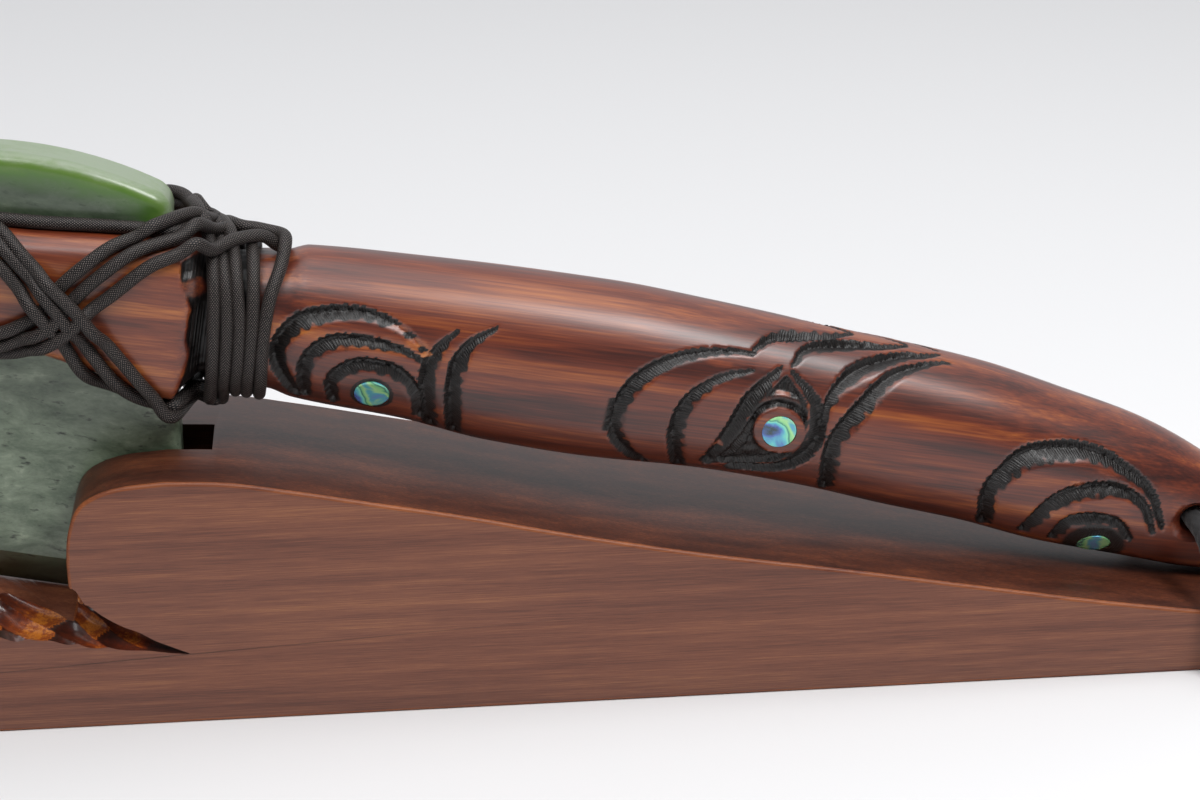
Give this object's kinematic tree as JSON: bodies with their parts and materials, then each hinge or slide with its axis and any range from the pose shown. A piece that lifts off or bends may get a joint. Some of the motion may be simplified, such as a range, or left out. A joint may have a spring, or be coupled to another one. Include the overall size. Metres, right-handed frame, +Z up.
{
  "type": "hafted greenstone axe on a stand",
  "caption": "Greenstone axe blade set in a carved, shell-inlaid wooden haft and bound with black cord, lying on its own shaped wooden stand.",
  "frame": {"origin": "on the floor, under the middle of the stand's length and thickness", "axes": "+X along the haft towards its butt, +Y away from the side seen in the picture, +Z up"},
  "size_m": [0.4327, 0.091, 0.1346],
  "materials": {
    "stand_wood": "satin stained",
    "haft_wood": "gloss lacquered, dark stained",
    "greenstone": "polished",
    "black_cord": "braided satin",
    "paua_shell": "polished iridescent shell",
    "plaited_cord": "matt plaited"
  },
  "bodies": {
    "root": {"stand": "stand_wood", "haft": "haft_wood", "axe_head": "greenstone", "lashing": "black_cord", "paua_eye_near_1": "paua_shell", "paua_eye_near_2": "paua_shell", "paua_eye_near_3": "paua_shell", "paua_eye_far_1": "paua_shell", "paua_eye_far_2": "paua_shell", "paua_eye_far_3": "paua_shell", "wrist_cord": "plaited_cord"}
  },
  "joints": []
}
